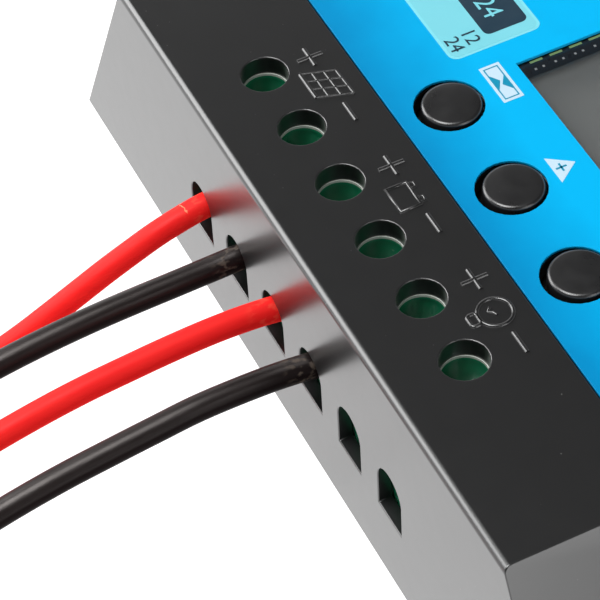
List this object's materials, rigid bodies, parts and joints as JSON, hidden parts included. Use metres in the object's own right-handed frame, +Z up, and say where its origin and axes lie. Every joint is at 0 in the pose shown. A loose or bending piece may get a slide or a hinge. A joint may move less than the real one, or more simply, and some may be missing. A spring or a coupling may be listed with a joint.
{
  "type": "solar charge controller",
  "caption": "Black charge controller box with a blue face label, a display, round push buttons and a row of screw terminals holding red and black leads.",
  "frame": {"origin": "middle of the case's footprint, on the surface it stands on, without the leads", "axes": "+X along the row of terminals, +Y away from the terminal wall, +Z up out of the face"},
  "size_m": [0.132, 0.2254, 0.0333],
  "materials": {
    "case_black": "black moulded plastic",
    "button_black": "black moulded plastic, satin",
    "label_blue": "printed blue film",
    "window_clear": "clear plastic window",
    "panel_grey": "liquid crystal panel, off",
    "plastic_white": "white moulded plastic",
    "block_green": "green moulded plastic",
    "board_green": "green solder mask",
    "steel": "zinc-plated steel",
    "tinned": "tinned brass",
    "aluminium": "extruded aluminium",
    "copper": "bare stranded copper",
    "chip_black": "black moulded epoxy",
    "can_blue": "capacitor sleeve",
    "sleeve_red": "red insulation",
    "sleeve_black": "black insulation"
  },
  "bodies": {
    "case": {"front_housing": "case_black", "face_label": "label_blue", "display_window": "window_clear", "display_panel": "panel_grey", "display_backlight": "plastic_white", "back_plate": "case_black", "power_board": "board_green", "display_board": "board_green", "pin_header": "tinned", "heat_sink": "aluminium", "capacitor": "can_blue", "controller_chip": "chip_black", "case_screw_1": "steel", "case_screw_2": "steel", "case_screw_3": "steel", "case_screw_4": "steel", "terminal_block_1": "block_green", "terminal_block_2": "block_green", "terminal_block_3": "block_green", "terminal_contact_1": "tinned", "terminal_contact_2": "tinned", "terminal_contact_3": "tinned", "terminal_contact_4": "tinned", "terminal_contact_5": "tinned", "terminal_contact_6": "tinned", "tactile_switch_1": "chip_black", "tactile_switch_2": "chip_black", "tactile_switch_3": "chip_black", "mosfet_1": "chip_black", "mosfet_2": "chip_black", "mosfet_3": "chip_black", "usb_socket_1": "steel", "usb_socket_2": "steel", "lead_1": "sleeve_red", "lead_clamped_end_1": "copper", "lead_free_end_1": "copper", "lead_2": "sleeve_black", "lead_clamped_end_2": "copper", "lead_free_end_2": "copper", "lead_3": "sleeve_red", "lead_clamped_end_3": "copper", "lead_free_end_3": "copper", "lead_4": "sleeve_black", "lead_clamped_end_4": "copper", "lead_free_end_4": "copper"},
    "button_cap_1_body": {"button_cap_1": "button_black"},
    "button_cap_2_body": {"button_cap_2": "button_black"},
    "button_cap_3_body": {"button_cap_3": "button_black"},
    "terminal_screw_1_body": {"terminal_screw_1": "steel"},
    "terminal_screw_2_body": {"terminal_screw_2": "steel"},
    "terminal_screw_3_body": {"terminal_screw_3": "steel"},
    "terminal_screw_4_body": {"terminal_screw_4": "steel"},
    "terminal_screw_5_body": {"terminal_screw_5": "steel"},
    "terminal_screw_6_body": {"terminal_screw_6": "steel"},
    "clamp_cage_1_body": {"clamp_cage_1": "steel"},
    "clamp_cage_2_body": {"clamp_cage_2": "steel"},
    "clamp_cage_3_body": {"clamp_cage_3": "steel"},
    "clamp_cage_4_body": {"clamp_cage_4": "steel"},
    "clamp_cage_5_body": {"clamp_cage_5": "steel"},
    "clamp_cage_6_body": {"clamp_cage_6": "steel"}
  },
  "joints": [
    {"name": "button_press_1", "type": "slide", "parent": "case", "child": "button_cap_1_body", "axis": [0, 0, -1], "range_m": [0, 0.0005], "stiffness_N_per_m": 1600},
    {"name": "button_press_2", "type": "slide", "parent": "case", "child": "button_cap_2_body", "axis": [0, 0, -1], "range_m": [0, 0.0005], "stiffness_N_per_m": 1600},
    {"name": "button_press_3", "type": "slide", "parent": "case", "child": "button_cap_3_body", "axis": [0, 0, -1], "range_m": [0, 0.0005], "stiffness_N_per_m": 1600},
    {"name": "terminal_screw_turn_1", "type": "hinge", "parent": "case", "child": "terminal_screw_1_body", "pos_m": [-0.0273, -0.0249, 0.022], "axis": [0, 0, 1], "range_deg": [0, 1440]},
    {"name": "clamp_cage_slide_1", "type": "slide", "parent": "case", "child": "clamp_cage_1_body", "axis": [0, 0, -1], "range_m": [0, 0.0028]},
    {"name": "terminal_screw_turn_2", "type": "hinge", "parent": "case", "child": "terminal_screw_2_body", "pos_m": [-0.0173, -0.0249, 0.022], "axis": [0, 0, 1], "range_deg": [0, 1440]},
    {"name": "clamp_cage_slide_2", "type": "slide", "parent": "case", "child": "clamp_cage_2_body", "axis": [0, 0, -1], "range_m": [0, 0.0028]},
    {"name": "terminal_screw_turn_3", "type": "hinge", "parent": "case", "child": "terminal_screw_3_body", "pos_m": [-0.0073, -0.0249, 0.022], "axis": [0, 0, 1], "range_deg": [0, 1440]},
    {"name": "clamp_cage_slide_3", "type": "slide", "parent": "case", "child": "clamp_cage_3_body", "axis": [0, 0, -1], "range_m": [0, 0.0028]},
    {"name": "terminal_screw_turn_4", "type": "hinge", "parent": "case", "child": "terminal_screw_4_body", "pos_m": [0.0027, -0.0249, 0.022], "axis": [0, 0, 1], "range_deg": [0, 1440]},
    {"name": "clamp_cage_slide_4", "type": "slide", "parent": "case", "child": "clamp_cage_4_body", "axis": [0, 0, -1], "range_m": [0, 0.0028]},
    {"name": "terminal_screw_turn_5", "type": "hinge", "parent": "case", "child": "terminal_screw_5_body", "pos_m": [0.0127, -0.0249, 0.022], "axis": [0, 0, 1], "range_deg": [-1440, 0]},
    {"name": "clamp_cage_slide_5", "type": "slide", "parent": "case", "child": "clamp_cage_5_body", "axis": [0, 0, -1], "range_m": [-0.0028, 0]},
    {"name": "terminal_screw_turn_6", "type": "hinge", "parent": "case", "child": "terminal_screw_6_body", "pos_m": [0.0227, -0.0249, 0.022], "axis": [0, 0, 1], "range_deg": [-1440, 0]},
    {"name": "clamp_cage_slide_6", "type": "slide", "parent": "case", "child": "clamp_cage_6_body", "axis": [0, 0, -1], "range_m": [-0.0028, 0]}
  ],
  "couplings": [
    {"joint": "terminal_screw_turn_1", "follows": "clamp_cage_slide_1", "rad_per_m": 8975.9},
    {"joint": "terminal_screw_turn_2", "follows": "clamp_cage_slide_2", "rad_per_m": 8975.9},
    {"joint": "terminal_screw_turn_3", "follows": "clamp_cage_slide_3", "rad_per_m": 8975.9},
    {"joint": "terminal_screw_turn_4", "follows": "clamp_cage_slide_4", "rad_per_m": 8975.9},
    {"joint": "terminal_screw_turn_5", "follows": "clamp_cage_slide_5", "rad_per_m": 8975.9},
    {"joint": "terminal_screw_turn_6", "follows": "clamp_cage_slide_6", "rad_per_m": 8975.9}
  ]
}
